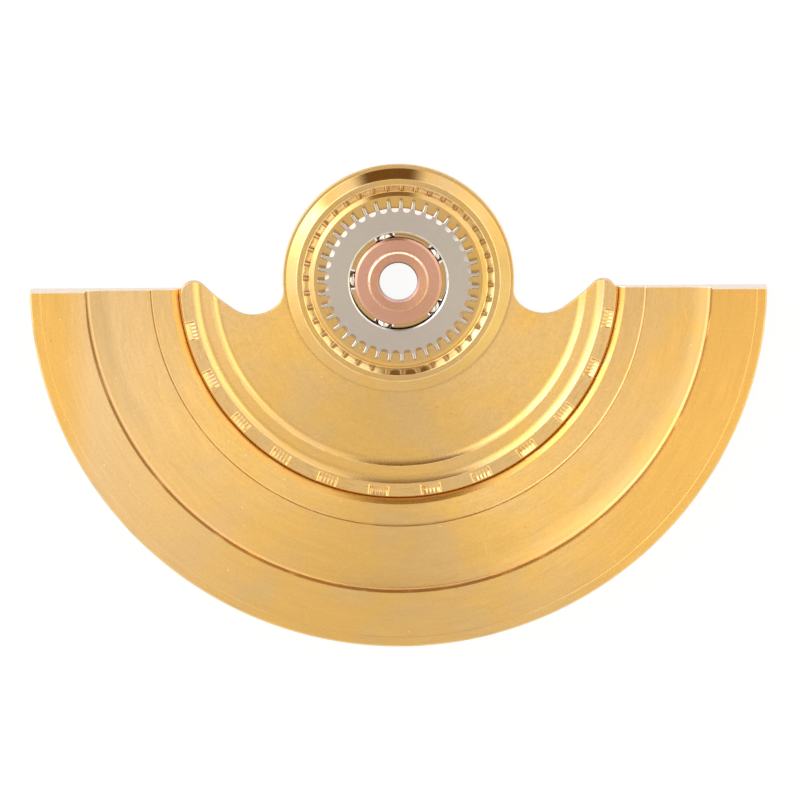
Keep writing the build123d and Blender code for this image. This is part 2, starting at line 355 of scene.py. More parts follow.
def metal(name, colour, finish, anisotropic=0.0, **looks):
    """Metal turned about the Z axis. finish lists (radius in mm, roughness) from the axis outwards.

    looks may give the second tone of the colour, the strengths of grain and satin, the cells for specks
    along a mm, scratches as (angle, seed), bands as (radius, half width, share, colour) such as worn
    edges, painted shade and painted reflections, the two X between which painted light turns the
    gilding pale towards the left, the radius beyond which a painted warm reflection turns it more red
    with the ranges of X on the right and the left where it turns so, the depth below the X axis at
    which the ground end faces start, and the depth of the marks in mm.
    """
    material = bpy.data.materials.new(name)
    material.use_nodes = True
    tree = material.node_tree
    tree.nodes.clear()
    output = node(tree, "ShaderNodeOutputMaterial")
    shader = node(tree, "ShaderNodeBsdfPrincipled")
    shader.inputs["Metallic"].default_value = 1
    shader.inputs["Anisotropic"].default_value = anisotropic
    shader.inputs["Anisotropic Rotation"].default_value = 0.25
    tangent = node(tree, "ShaderNodeTangent", direction_type="RADIAL", axis="Z")
    tree.links.new(tangent.outputs[0], shader.inputs["Tangent"])

    # Place in mm, distance from the axis, and a place that follows the turning marks round it
    place = node(tree, "ShaderNodeTexCoord").outputs["Object"]
    place = vector_maths(tree, "MULTIPLY", place, (1 / METRES, 1 / METRES, 1 / METRES))
    flat = vector_maths(tree, "MULTIPLY", place, (1, 1, 0))
    radius = vector_maths(tree, "LENGTH", flat)
    spoke = vector_maths(tree, "NORMALIZE", flat)
    rise = node(tree, "ShaderNodeCombineXYZ")
    tree.links.new(radius, rise.inputs["Z"])
    fine_round = vector_maths(tree, "MULTIPLY", spoke, (10, 10, 0))
    fine_rise = vector_maths(tree, "MULTIPLY", rise.outputs[0], (0, 0, 16))
    fine = noise(tree, vector_maths(tree, "ADD", fine_round, fine_rise), 1, 3)
    broad_round = vector_maths(tree, "MULTIPLY", spoke, (5, 5, 0))
    broad_rise = vector_maths(tree, "MULTIPLY", rise.outputs[0], (0, 0, 4))
    broad = noise(tree, vector_maths(tree, "ADD", broad_round, broad_rise), 1)
    satin_grain = noise(tree, place, 13)
    patches = noise(tree, place, 0.8, 4)
    wide_patches = noise(tree, place, 0.2, 2)
    grain = looks.get("grain", 0.5)
    satin_share = looks.get("satin", 0.5)

    share = maths(tree, "DIVIDE", radius, finish[-1][0])
    zones = node(tree, "ShaderNodeValToRGB")
    tree.links.new(share, zones.inputs[0])
    stops = zones.color_ramp.elements
    for index, (reach, roughness) in enumerate(finish):
        stop = stops[index] if index < 2 else stops.new(reach / finish[-1][0])
        stop.position = reach / finish[-1][0]
        stop.color = (roughness, roughness, roughness, 1)
    rough = zones.outputs[0]
    marks = maths(tree, "MULTIPLY_ADD", fine, grain, maths(tree, "MULTIPLY", satin_grain, satin_share))
    middle = (grain + satin_share) / 2
    marks_from_middle = maths(tree, "SUBTRACT", marks, middle)
    swing = maths(tree, "MULTIPLY_ADD", marks_from_middle, 0.5, 1)
    rough = maths(tree, "MULTIPLY", rough, swing)

    # Colour: two tones in soft patches, fine marks, specks, scratches, worn edges, and painted light,
    # shade and reflections
    second = looks.get("second", tuple(channel * 0.9 for channel in colour))
    wide_part = maths(tree, "MULTIPLY", wide_patches, 0.55)
    patch_share = between(tree, maths(tree, "MULTIPLY_ADD", patches, 0.45, wide_part), 0.4, 0.6)
    tone = blend(tree, patch_share, colour, second)
    across = node(tree, "ShaderNodeSeparateXYZ")
    tree.links.new(place, across.inputs[0])
    # Painted light: towards the left the gilding is painted pale, as if a cooler light fell there
    if looks.get("paler"):
        painted_left_share = between(tree, across.outputs["X"], *looks["paler"])
        tone = blend(tree, painted_left_share, tone, painted_left_light)
    # Painted reflection: beyond a radius, at the right and the far left, the gilding is painted more
    # red, as a warm reflection
    if looks.get("redder"):
        reach, right_range, left_range = looks["redder"]
        right = between(tree, across.outputs["X"], *right_range)
        left = between(tree, across.outputs["X"], *left_range)
        beyond = maths(tree, "GREATER_THAN", radius, reach)
        sides = maths(tree, "MULTIPLY", maths(tree, "ADD", left, right), beyond)
        tone = blend(tree, sides, tone, painted_warm_reflection)
    value = maths(tree, "MULTIPLY_ADD", maths(tree, "SUBTRACT", fine, 0.5), 0.28 * grain, 1)
    value = maths(tree, "MULTIPLY_ADD", maths(tree, "SUBTRACT", broad, 0.5), 0.22 * grain, value)
    value = maths(
        tree, "MULTIPLY_ADD", maths(tree, "SUBTRACT", satin_grain, 0.5), 0.22 * satin_share, value
    )
    shade = node(tree, "ShaderNodeVectorMath", operation="SCALE")
    tree.links.new(tone, shade.inputs[0])
    tree.links.new(value, shade.inputs["Scale"])
    tone = shade.outputs[0]
    if looks.get("specks"):
        cells = node(tree, "ShaderNodeTexVoronoi")
        tree.links.new(place, cells.inputs["Vector"])
        cells.inputs["Scale"].default_value = looks["specks"]
        dot = between(tree, cells.outputs["Distance"], 0.03, 0.075, 1, 0)
        pick = node(tree, "ShaderNodeSeparateColor")
        tree.links.new(cells.outputs["Color"], pick.inputs[0])
        pale = maths(tree, "MULTIPLY", dot, maths(tree, "GREATER_THAN", pick.outputs[0], 0.62))
        dark = maths(tree, "MULTIPLY", dot, maths(tree, "LESS_THAN", pick.outputs[0], 0.14))
        tone = blend(tree, maths(tree, "MULTIPLY", pale, 0.5), tone, pale_speck)
        tone = blend(tree, maths(tree, "MULTIPLY", dark, 0.5), tone, dark_speck)
    bump_height = marks
    for angle, seed in looks.get("scratches", ()):
        turn = node(tree, "ShaderNodeVectorRotate", rotation_type="Z_AXIS")
        tree.links.new(place, turn.inputs["Vector"])
        turn.inputs["Angle"].default_value = radians(angle)
        long = vector_maths(tree, "MULTIPLY", turn.outputs[0], (0.9, 16, 0.9))
        line = noise(tree, vector_maths(tree, "ADD", long, (seed, seed, seed)), 1)
        scratch = between(tree, line, 0.67, 0.78)
        pale_line = tuple(min(1, channel * 1.25) for channel in colour)
        tone = blend(tree, maths(tree, "MULTIPLY", scratch, 0.3), tone, pale_line)
        bump_height = maths(tree, "MULTIPLY_ADD", scratch, -0.3, bump_height)
    uneven = between(tree, fine, 0.3, 0.5)
    # Bands at set radii: worn edges, and painted shade and painted reflections
    for reach, half_width, amount, band_colour in looks.get("bands", ()):
        band = maths(tree, "COMPARE", radius, reach, half_width)
        band = maths(tree, "MULTIPLY", maths(tree, "MULTIPLY", band, uneven), amount)
        tone = blend(tree, band, tone, band_colour)
    if looks.get("end_depth"):
        ground = maths(tree, "GREATER_THAN", across.outputs["Y"], -looks["end_depth"])
        grinding = noise(tree, vector_maths(tree, "MULTIPLY", place, (2, 2, 24)), 1)
        bare = blend(tree, grinding, *ground_metal)
        tone = blend(tree, ground, tone, bare)
    feed(tree, shader.inputs["Base Color"], tone)
    feed(tree, shader.inputs["Roughness"], rough)
    bump = node(tree, "ShaderNodeBump")
    bump.inputs["Distance"].default_value = looks.get("depth", 0.003) * METRES
    feed(tree, bump.inputs["Strength"], maths(tree, "MULTIPLY", zones.outputs[0], 2.5))
    feed(tree, bump.inputs["Height"], bump_height)
    tree.links.new(bump.outputs[0], shader.inputs["Normal"])
    tree.links.new(shader.outputs[0], output.inputs[0])
    return material


polished, bright, satin = 0.1, 0.2, 0.35
gilt = (0.70, 0.43, 0.14)
gilt_pale = (0.655, 0.425, 0.185)
# Painted light: the pale tone painted on the left side
painted_left_light = (0.65, 0.44, 0.24)
# Painted reflection: the warm tone painted on the rim
painted_warm_reflection = (0.66, 0.385, 0.115)
flange_gilt = (0.78, 0.53, 0.27)
# Painted light: the groove's wall painted bright, standing in for the light it reflects
groove_painted_light = (0.98, 0.7, 0.32)
# Painted reflection: the bevel painted orange, like the gold flange it mirrors
bevel_painted_reflection = (0.72, 0.37, 0.07)
# Painted shade: dark lines at the feet of the tall and the low step
tall_step_painted_shade = (0.33, 0.18, 0.05)
low_step_painted_shade = (0.36, 0.22, 0.07)
worn_gilt = (1.0, 0.82, 0.48)
worn_nickel = (0.9, 0.88, 0.86)
# Painted shade: the tooth tips painted dark
tooth_painted_shade = (0.3, 0.2, 0.12)
worn_copper = (1.0, 0.82, 0.6)
# Painted shade: the screw bore's wall painted dark grey
bore_painted_shade = (0.4, 0.32, 0.32)
dull_copper = (0.45, 0.22, 0.14)
pale_speck = (0.95, 0.8, 0.5)
dark_speck = (0.3, 0.17, 0.06)
ground_metal = (0.86, 0.78, 0.71), (0.76, 0.65, 0.54)
gilt_brass = metal(
    "gilt_brass_turned",
    gilt,
    [
        (2.0, 0.16),
        (boss_floor_radius, 0.16),
        (groove_radius, polished),
        (boss_ring_inner_radius, polished),
        (boss_ring_inner_radius + 0.02, bright),
        (boss_ring_outer_radius, bright),
        (boss_ring_outer_radius + 0.02, polished),
        (boss_slope_foot_radius, polished),
        (boss_radius, 0.32),
        (web_outer_radius, 0.32),
        (web_outer_radius + 0.1, bright),
        (middle_flat_inner_radius, bright),
        (middle_flat_inner_radius + 0.02, satin),
        (middle_flat_outer_radius, satin),
        (middle_flat_outer_radius + 0.1, bright),
        (flange_inner_radius, bright),
        (flange_inner_radius + 0.02, 0.25),
        (seat_radius, 0.25),
    ],
    0.6,
    second=gilt_pale,
    grain=0.35,
    satin=0.8,
    specks=2.3,
    scratches=((25, 3), (-52, 8)),
    bands=[
        (reach, 0.025, 0.3, worn_gilt)
        for reach in (
            boss_ring_inner_radius,
            boss_ring_outer_radius,
            middle_flat_inner_radius,
            flange_inner_radius,
        )
    ]
    + [
        (seat_radius - flange_width / 2, flange_width / 2, 0.4, flange_gilt),
        # Painted light: the groove's wall painted bright
        (boss_ring_inner_radius - groove_outer_width / 2, groove_outer_width / 2, 0.7, groove_painted_light),
    ],
    # Painted light: the left side painted pale
    paler=(-4, -9),
)
gilt_tungsten = metal(
    "gilt_tungsten_turned",
    gilt,
    [
        (7.0, 0.25),
        (bevel_top_radius - 0.02, 0.25),
        (bevel_top_radius + 0.02, 0.37),
        (rotor_radius, 0.37),
    ],
    0.7,
    second=gilt_pale,
    grain=0.5,
    satin=0.8,
    specks=2.1,
    scratches=((38, 1), (-35, 5), (80, 9)),
    bands=[
        (rotor_radius - 0.04, 0.03, 0.4, worn_gilt),
        # Painted shade: dark lines at the feet of the tall and the low step
        (rim_inner_radius - 0.005, 0.028, 0.85, tall_step_painted_shade),
        (inner_outer_radius + 0.005, 0.018, 0.8, low_step_painted_shade),
        # Painted reflection: the bevel painted orange, like the gold flange it mirrors
        (seat_radius + 0.15, 0.14, 0.7, bevel_painted_reflection),
    ],
    # Painted light: the left side painted pale
    paler=(-4, -11.5),
    # Painted reflection: the rim painted more red at the right and the far left
    redder=(rim_inner_radius + 0.02, (4.5, 8.5), (-10.2, -11.7)),
    end_depth=end_face_drop + 0.02,
)
nickel_steel = metal(
    "nickel_steel_turned",
    (0.5, 0.445, 0.405),
    [(1.0, 0.25), (3.0, 0.25)],
    0.3,
    second=(0.515, 0.45, 0.415),
    bands=[
        (ring_bore_radius + 0.03, 0.025, 0.4, worn_nickel),
        # Painted shade: the tooth tips painted dark
        (gear_tip_radius - 0.02, 0.06, 0.5, tooth_painted_shade),
    ],
    grain=0.25,
    satin=0.2,
    scratches=((15, 2),),
    depth=0.001,
)
copper_alloy = metal(
    "copper_alloy_turned",
    (0.61, 0.33, 0.25),
    [(0.5, 0.3), (hub_radius, 0.3), (hub_radius + 0.04, 0.25), (1.6, 0.25)],
    0.3,
    second=(0.59, 0.31, 0.22),
    bands=[
        (hub_radius - hub_bevel / 2, 0.03, 0.6, worn_copper),
        # Painted shade: the screw bore's wall painted dark grey
        (screw_bore_radius + 0.02, 0.03, 0.8, bore_painted_shade),
        (screw_bore_radius + 0.19, 0.125, 0.5, dull_copper),
    ],
    grain=0.3,
    satin=0.25,
    scratches=((60, 4),),
    depth=0.001,
)
cage_brass = metal("cage_brass_turned", (0.62, 0.40, 0.18), [(1.0, 0.2), (2.0, 0.2)], depth=0.001)
ball_steel = metal(
    "ball_steel_polished",
    (0.72, 0.70, 0.68),
    [(1.0, 0.04), (2.0, 0.04)],
    grain=0.1,
    satin=0.1,
    depth=0.0003,
)


# Heavy segment: its profile is turned, and each end is cut square and rounded at its edge
def fillet(start, start_height, end, end_height, edge_round):
    """Corner and radius of an arc that leaves a flat and rises to a crisp edge."""
    width, rise = end - start, end_height - start_height
    arc_radius = (width**2 + rise**2) / (2 * rise)
    half_turn = atan(rise / width)
    reach = arc_radius * tan(half_turn)
    kept = (reach - edge_round * tan(half_turn)) / reach
    return (start + reach, start_height, arc_radius * kept)


segment_line = rounded(
    [
        (ledge_radius, 0, joint_edge_break),
        (rotor_radius, 0, 0.03),
        (rotor_radius - rim_draft, rim_height, rim_edge_round),
        (scribe_radius + scribe_half_width, rim_height, 0.012),
        (scribe_radius, rim_height - scribe_depth, 0.004),
        (scribe_radius - scribe_half_width, rim_height, 0.012),
        (rim_inner_radius, rim_height, 0.018),
        (middle_outer_radius, middle_height + dish_rise, tall_step_fillet),
        (middle_outer_radius - dish_width, middle_height, dish_round),
        (inner_outer_radius + low_step_lean, middle_height, 0.012),
        (inner_outer_radius, inner_height, low_step_fillet),
        (bevel_top_radius, inner_height, bevel_round),
        (seat_radius + bevel_knee_width, bevel_knee_height, 0.02),
        (seat_radius + crevice_width, bevel_foot, 0.003),
        (seat_radius + crevice_foot_width, ledge_height, 0.002),
        (ledge_radius, ledge_height, 0.022),
    ]
)


def end_angle(radius, depth):
    """How far past the X axis a circle meets the plane at that depth below it."""
    return degrees(atan2(depth, sqrt(radius**2 - depth**2)))


segment_columns = 240
end_steps = 3
segment = Shell()
segment_rows = []
for column in range(segment_columns + 1):
    row = []
    for place, normal in segment_line:
        gap = end_angle(place.x, end_face_drop + end_edge_round)
        angle = 180 + gap + (180 - 2 * gap) * column / segment_columns
        row.extend(turned([(place, normal)], angle))
    segment_rows.append(row + row[:1])
segment.grid(segment_rows)
for side, first in ((-1, segment_rows[0]), (1, segment_rows[-1])):
    rows = [first]
    for step in range(1, end_steps + 1):
        turn = pi / 2 * step / end_steps
        inset = end_edge_round * (1 - cos(turn))
        depth = end_face_drop + end_edge_round * (1 - sin(turn))
        row = []
        for place, normal in segment_line:
            moved = place - normal * inset
            x = side * sqrt(moved.x**2 - depth**2)
            around = (side * normal.x * cos(turn), sin(turn), normal.y * cos(turn))
            row.append(((x, -depth, moved.y), around))
        rows.append(row + row[:1])
    segment.grid(rows if side > 0 else rows[::-1])
    segment.face([segment.point(*item) for item in rows[-1][:-1]])
segment.make("segment_body", "rotor", "heavy_segment", gilt_tungsten)


# Carrier plate: outline of the right half, from the boss to the seat
def arc_points(centre, start, end, outward, most_step=8):
    """(place, outward normal) along the shorter arc from start to end."""
    radius = (start - centre).length
    first, last = start - centre, end - centre
    turn = atan2(first.cross(last), first.dot(last))
    steps = max(2, round(degrees(abs(turn)) / most_step))
    line = []
    for step in range(steps + 1):
        spoke = Matrix.Rotation(turn * step / steps, 2) @ first
        line.append((centre + spoke, spoke / radius * outward))
    return line


def at_angle(angle):
    return Vector((cos(radians(angle)), sin(radians(angle))))


corner_centre = at_angle(-bay_corner_angle) * (boss_radius + bay_corner_radius)
corner_start = corner_centre.normalized() * boss_radius
turn_direction = at_angle(bay_turn_angle)
bottom_centre = corner_centre + turn_direction * (bay_radius - bay_corner_radius)
bottom_start = corner_centre - turn_direction * bay_corner_radius
flank_direction = at_angle(flank_angle)
flank_normal = at_angle(flank_angle - 90)
flank_start = bottom_centre + flank_normal * bay_radius
lobe_reach = seat_radius - lobe_radius
lobe_offset = flank_start.dot(flank_normal) + lobe_radius
lobe_travel = sqrt(lobe_reach**2 - lobe_offset**2)
lobe_centre = flank_normal * lobe_offset + flank_direction * lobe_travel
lobe_start = lobe_centre - flank_normal * lobe_radius
lobe_end = lobe_centre.normalized() * seat_radius

bay_side = arc_points(corner_centre, corner_start, bottom_start, -1)
bay_side += arc_points(bottom_centre, bottom_start, flank_start, -1)[1:]
bay_side += arc_points(lobe_centre, lobe_start, lobe_end, 1)
inset_side = []
for place, normal in bay_side:
    inner = place - normal * outline_round
    inset_side.append((inner.length, degrees(atan2(inner.y, inner.x)), normal))


def side_at(radius):
    """Angle of the inset outline's right side, and its normal, at a radius."""
    if radius <= inset_side[0][0]:
        return inset_side[0][1], inset_side[0][2]
    for low, high in zip(inset_side, inset_side[1:]):
        if low[0] <= radius <= high[0]:
            share = (radius - low[0]) / max(high[0] - low[0], 1e-9)
            normal = low[2].lerp(high[2], share).normalized()
            return low[1] + (high[1] - low[1]) * share, normal
    return inset_side[-1][1], inset_side[-1][2]


riser_foot_round = 0.004
riser_edge_round = 0.014
lower_riser = (middle_flat_inner_radius - riser_lean, middle_flat_height - riser_height)
upper_riser = (flange_inner_radius - riser_lean, flange_height - riser_height)
plate_top = rounded(
    [
        (ring_seat_radius, boss_floor_height, 0),
        (boss_floor_radius, boss_floor_height, 0.02),
        (groove_radius, groove_height, 0.04),
        (boss_ring_inner_radius, boss_height, 0.05),
        (boss_ring_outer_radius, boss_height, 0.05),
        (boss_slope_foot_radius, web_thickness, 0.06),
        fillet(web_outer_radius, web_thickness, *lower_riser, riser_foot_round),
        (*lower_riser, riser_foot_round),
        (middle_flat_inner_radius, middle_flat_height, riser_edge_round),
        fillet(middle_flat_outer_radius, middle_flat_height, *upper_riser, riser_foot_round),
        (*upper_riser, riser_foot_round),
        (flange_inner_radius, flange_height, riser_edge_round),
        (seat_radius - outline_round, flange_height, 0),
    ],
    solid_side=-1,
    closed=False,
    most_turn=16,
)
undercut_step = 0.001
plate_bottom = rounded(
    [
        (ring_seat_radius, bearing_recess + rivet_lip, 0),
        (ring_seat_radius + bearing_recess + rivet_lip, 0, 0.01),
        (ledge_radius - joint_edge_break, 0, 0.01),
        (ledge_radius, joint_edge_break, 0.01),
        (ledge_radius + undercut_step, ledge_height, 0.01),
        (seat_radius - outline_round, ledge_height, 0),
    ],
    solid_side=1,
    closed=False,
    most_turn=30,
)


def height_on(line, radius):
    """Height and normal of a profile at a radius."""
    for (low, low_normal), (high, high_normal) in zip(line, line[1:]):
        if low.x <= radius <= high.x and high.x > low.x:
            share = (radius - low.x) / (high.x - low.x)
            normal = low_normal.lerp(high_normal, share).normalized()
            return low.y + (high.y - low.y) * share, normal
    return line[-1][0].y, line[-1][1]


# Columns of the plate's mesh: close together at the stakes, a few between them
stake_angles = [stake_first_angle + stake_pitch * index for index in range(stake_count)]
half_mark = stake_width / 2
mark_steps = [half_mark + stake_burr_width * share for share in (2.6, 1.6, 1.0, 0.5, 0)]
mark_steps += [half_mark - stake_wall * share for share in (0.5, 1.0)]
floor_step = (half_mark - stake_wall) / (2 * stake_ridges)
mark_steps += [floor_step * index for index in range(2 * stake_ridges - 1, 0, -1)]
mark_offsets = [-value for value in mark_steps] + [0] + mark_steps[::-1]
column_angles = [180 + bay_corner_angle]
parts_between = 3
for angle in stake_angles + [None]:
    here = [] if angle is None else [angle + degrees(v / seat_radius) for v in mark_offsets]
    reach = here[0] if here else 360 - bay_corner_angle
    last = column_angles[-1]
    column_angles += [last + (reach - last) * k / parts_between for k in range(1, parts_between)]
    column_angles += here or [reach]
junction_radius = boss_radius - outline_round
rim_bend_angle = 3.1
web_bend_angle = 34


def column_angle(angle, radius):
    """Where a column runs at a radius: those near the bays bend to follow the outline."""
    if radius <= junction_radius:
        return angle
    side_angle, _ = side_at(radius)
    shift = side_angle + bay_corner_angle
    near_stakes = flange_inner_radius - upper_fillet_width / 2
    spread = rim_bend_angle if radius > near_stakes else web_bend_angle
    left_gap, right_gap = angle - 180 - bay_corner_angle, 360 - bay_corner_angle - angle
    left = max(0, 1 - left_gap / spread)
    right = max(0, 1 - right_gap / spread)
    return angle + shift * right - shift * left


luck = random.Random(7)
stake_tilts = [luck.uniform(-0.35, 0.35) for _ in stake_angles]
stake_depths = [luck.uniform(0.8, 1.15) for _ in stake_angles]


def stake_shape(radius, angle):
    """Height that the punch adds to or takes from the flange."""
    index = min(range(stake_count), key=lambda item: abs(stake_angles[item] - angle))
    shift = radians(angle - stake_angles[index]) * radius
    across = abs(shift)
    inward = seat_radius - radius
    if inward > stake_length + 2 * stake_burr_width or across > half_mark + 2 * stake_burr_width:
        return 0
    tooth = (1 - cos(2 * pi * stake_ridges * across / stake_width)) / 2
    end = stake_length - stake_tooth_length * tooth
    share = min(1, max(0, (end - inward) / stake_slope_length))
    floor_share = min(1, inward / (stake_length - stake_slope_length))
    depth = stake_rim_depth + (stake_depth - stake_rim_depth) * floor_share
    depth *= stake_depths[index] * (1 + stake_tilts[index] * shift / half_mark)
    wall_share = min(1, max(0, (half_mark - across) / stake_wall))
    side_gap = (across - half_mark) / stake_burr_width
    fade = min(1, max(0, (stake_length - inward) / stake_burr_width))
    burr = stake_burr_height * exp(-(side_gap**2)) * fade
    return burr - (depth + stake_ridge_height * tooth * floor_share) * share * wall_share


def on_top(radius, angle):
    """(place, normal) of the plate's upper side."""
    height, normal = height_on(plate_top, radius)
    turned_normal = Vector((normal.x * at_angle(angle).x, normal.x * at_angle(angle).y, normal.y))
    mark = stake_shape(radius, angle)
    if radius > flange_inner_radius:
        step = 0.008
        out = at_angle(angle)
        along = degrees(step / radius)
        rise_out = stake_shape(radius + step, angle) - stake_shape(radius - step, angle)
        rise_round = stake_shape(radius, angle + along) - stake_shape(radius, angle - along)
        tilt = Vector((out.x, out.y, 0)) * rise_out + Vector((-out.y, out.x, 0)) * rise_round
        tilt /= 2 * step
        turned_normal = (turned_normal - tilt).normalized()
    x, y = at_angle(angle) * radius
    return ((x, y, height + mark), turned_normal)


def on_bottom(radius, angle):
    """(place, normal) of the plate's lower side."""
    height, normal = height_on(plate_bottom, radius)
    out = at_angle(angle)
    return ((out.x * radius, out.y * radius, height), (normal.x * out.x, normal.x * out.y, normal.y))


side_radii = [radius for radius, _, _ in inset_side]
mark_shares = (1.15, 1.05, 1.0, 0.95, 0.9, 0.84, 0.76, 0.68, 0.6, 0.53, 0.46, 0.25)
mark_rows = [seat_radius - stake_length * share for share in mark_shares]
profile_radii = [place.x for place, _ in plate_top + plate_bottom]
least_row = 0.0008
plate_radii = [ring_seat_radius]
for radius in sorted(profile_radii + side_radii + mark_rows):
    if plate_radii[-1] + least_row < radius < seat_radius - outline_round - least_row:
        plate_radii.append(radius)
plate_radii.append(seat_radius - outline_round)
inner_radii = [r for r in plate_radii if r < junction_radius - least_row] + [junction_radius]
outer_radii = [junction_radius] + [r for r in plate_radii if r > junction_radius + least_row]
upper_columns = 90
upper_angles = [
    (180 + 2 * bay_corner_angle) * index / upper_columns - bay_corner_angle
    for index in range(1, upper_columns)
]
around = column_angles + [angle + 360 for angle in upper_angles] + column_angles[:1]
plate = Shell()
for surface in (on_top, on_bottom):
    plate.grid([[surface(r, angle) for angle in around] for r in inner_radii])
    plate.grid(
        [[surface(r, column_angle(angle, r)) for angle in column_angles] for r in outer_radii]
    )
plate.grid([[surface(ring_seat_radius, a) for a in around] for surface in (on_top, on_bottom)])

# Outline of the plate as (radius, angle, outward normal), over the top, down the left and back
outline = [(junction_radius, a, at_angle(a)) for a in [-bay_corner_angle] + upper_angles]
for radius in outer_radii[:-1]:
    angle, normal = side_at(radius)
    outline.append((radius, 180 - angle, Vector((-normal.x, normal.y))))
for angle in column_angles:
    rim_angle = column_angle(angle, outer_radii[-1])
    outline.append((outer_radii[-1], rim_angle, at_angle(rim_angle)))
for radius in outer_radii[-2:0:-1]:
    angle, normal = side_at(radius)
    outline.append((radius, angle, normal))
wall_steps = 4
wall_rows = []
for surface, up in ((on_top, 1), (on_bottom, -1)):
    turns = [pi / 2 * step / wall_steps for step in range(wall_steps + 1)]
    for turn in turns if up > 0 else turns[::-1]:
        row = []
        for radius, angle, outward in outline:
            place, _ = surface(radius, angle)
            flat = outward * outline_round * sin(turn)
            lower = outline_round * (1 - cos(turn)) * up
            moved = (place[0] + flat.x, place[1] + flat.y, place[2] - lower)
            row.append((moved, (*(outward * sin(turn)), up * cos(turn))))
        wall_rows.append(row)
plate.grid(wall_rows, closed=True)
plate.make("carrier_body", "rotor", "rotor_plate", gilt_brass)

# Outer ring: its bore and spigot are turned. Each tooth gap ends in a wall whose upper edge is cut
# away by a hollow bevel, and the teeth are slim with rounded edges.
pitch = 360 / tooth_count
gap_wall_radius = gear_root_radius + gap_wall_offset
gap_half_width = gap_root_width / 2
bevel_steepness = tan(radians(gap_bevel_angle))
gap_bevel_hollow = 0.3
crisp = 0.004
tooth_edge_steps = 5


def root_column(across):
    """Points up the end wall of a tooth gap and over its bevel, at a distance from its middle."""
    depth_share = sqrt(1 - (across / gap_half_width) ** 3)
    top_radius = gap_wall_radius - gap_bevel_length * depth_share
    low = ring_top - gap_bevel_length * depth_share * bevel_steepness
    curve = gap_bevel_hollow * across / gap_half_width
    facing = (bevel_steepness, -bevel_steepness * curve, 1) if depth_share > 0 else (0, 0, 1)
    column = [((gap_wall_radius, across, z), (1, 0, 0)) for z in (boss_floor_height, low - crisp)]
    for part in (0, 0.35, 0.7, 0.96):
        x = gap_wall_radius + (top_radius - gap_wall_radius) * part
        column.append(((x, across, low + (ring_top - low) * part), facing))
    return column + [((top_radius, across, ring_top), (0, 0, 1))]


def tooth_column(place, outward):
    """Points up a tooth's side and over its rounded edge."""
    column = [((*place, boss_floor_height), (*outward, 0))]
    for step in range(tooth_edge_steps + 1):
        turn = pi / 2 * step / tooth_edge_steps
        flat = place - outward * tooth_edge_round * (1 - cos(turn))
        level = ring_top - tooth_edge_round * (1 - sin(turn))
        column.append(((*flat, level), (*(outward * cos(turn)), sin(turn))))
    return column


tooth_middle = at_angle(pitch / 2)
tip_corner = tooth_middle * gear_tip_radius + at_angle(pitch / 2 - 90) * tooth_tip_width / 2
tip_end = tooth_middle * gear_tip_radius
side_corners = [
    (gap_wall_radius, gap_half_width, 0),
    (*tip_corner, tooth_tip_round),
    (*tip_end, 0),
]
side_line = rounded(side_corners, closed=False, most_turn=15)
side_start, side_normal = side_line[0]
side_way = (tip_corner - side_start).normalized()
side_line[0] = (side_start + side_way * tooth_edge_run, side_normal)
root_shares = (0, 0.3, 0.55, 0.75, 0.88, 0.96, 1)
half_columns = [root_column(gap_half_width * share) for share in root_shares]
root_count = len(half_columns)
half_columns += [tooth_column(place, normal) for place, normal in side_line]
ring_line = rounded(
    [
        (ring_seat_radius, ring_top, 0),
        (ring_bore_radius + bore_bevel_width, ring_top, 0.01),
        (ring_bore_radius, ring_top - bore_bevel_depth, 0.01),
        (ring_bore_radius, ball_plane + race_half_height, 0.01),
        (outer_apex_radius, ball_plane, 0.12),
        (ring_bore_radius, ball_plane - race_half_height, 0.01),
        (ring_bore_radius, bearing_recess, bore_edge_break),
        (ring_seat_radius + rivet_lip, bearing_recess, 0.02),
        (ring_seat_radius, bearing_recess + rivet_lip, 0.02),
        (ring_seat_radius, boss_floor_height, 0),
    ],
    closed=False,
)


def moved(item, angle, flip):
    """A (place, normal) turned to a tooth, and mirrored about the tooth's middle first."""
    turn = Matrix.Rotation(radians(angle), 3, "Z")
    across = Vector((*at_angle(pitch / 2 + 90), 0))
    result = []
    for vector in item:
        vector = Vector(vector)
        if flip:
            vector = vector - across * 2 * vector.dot(across)
        result.append(turn @ vector)
    return result


ring = Shell()
for tooth in range(tooth_count):
    sides = []
    for flip in (False, True):
        columns = [[moved(item, pitch * tooth, flip) for item in column] for column in half_columns]
        ring.grid(columns)
        rows = []
        for column in columns[:root_count]:
            (place, _), (foot, _) = column[-1], column[0]
            angle = degrees(atan2(place.y, place.x))
            rows.append([(place, (0, 0, 1))] + turned(ring_line, angle) + [(foot, (0, 0, -1))])
        ring.grid(rows)
        sides.append((columns, rows[-1]))
    (left, left_row), (right, right_row) = sides
    ring.grid([left_row[1:-1], right_row[1:-1]])
    for level, row_index in ((-1, 1), (0, -2)):
        border = [column[level] for column in left[root_count - 1 :]]
        border += [column[level] for column in right[root_count - 1 :][::-1]]
        border += [right_row[row_index], left_row[row_index]]
        ring.face([ring.point(*item) for item in border])
ring.make("gear_ring_body", "rotor", "outer_ring_gear", nickel_steel)

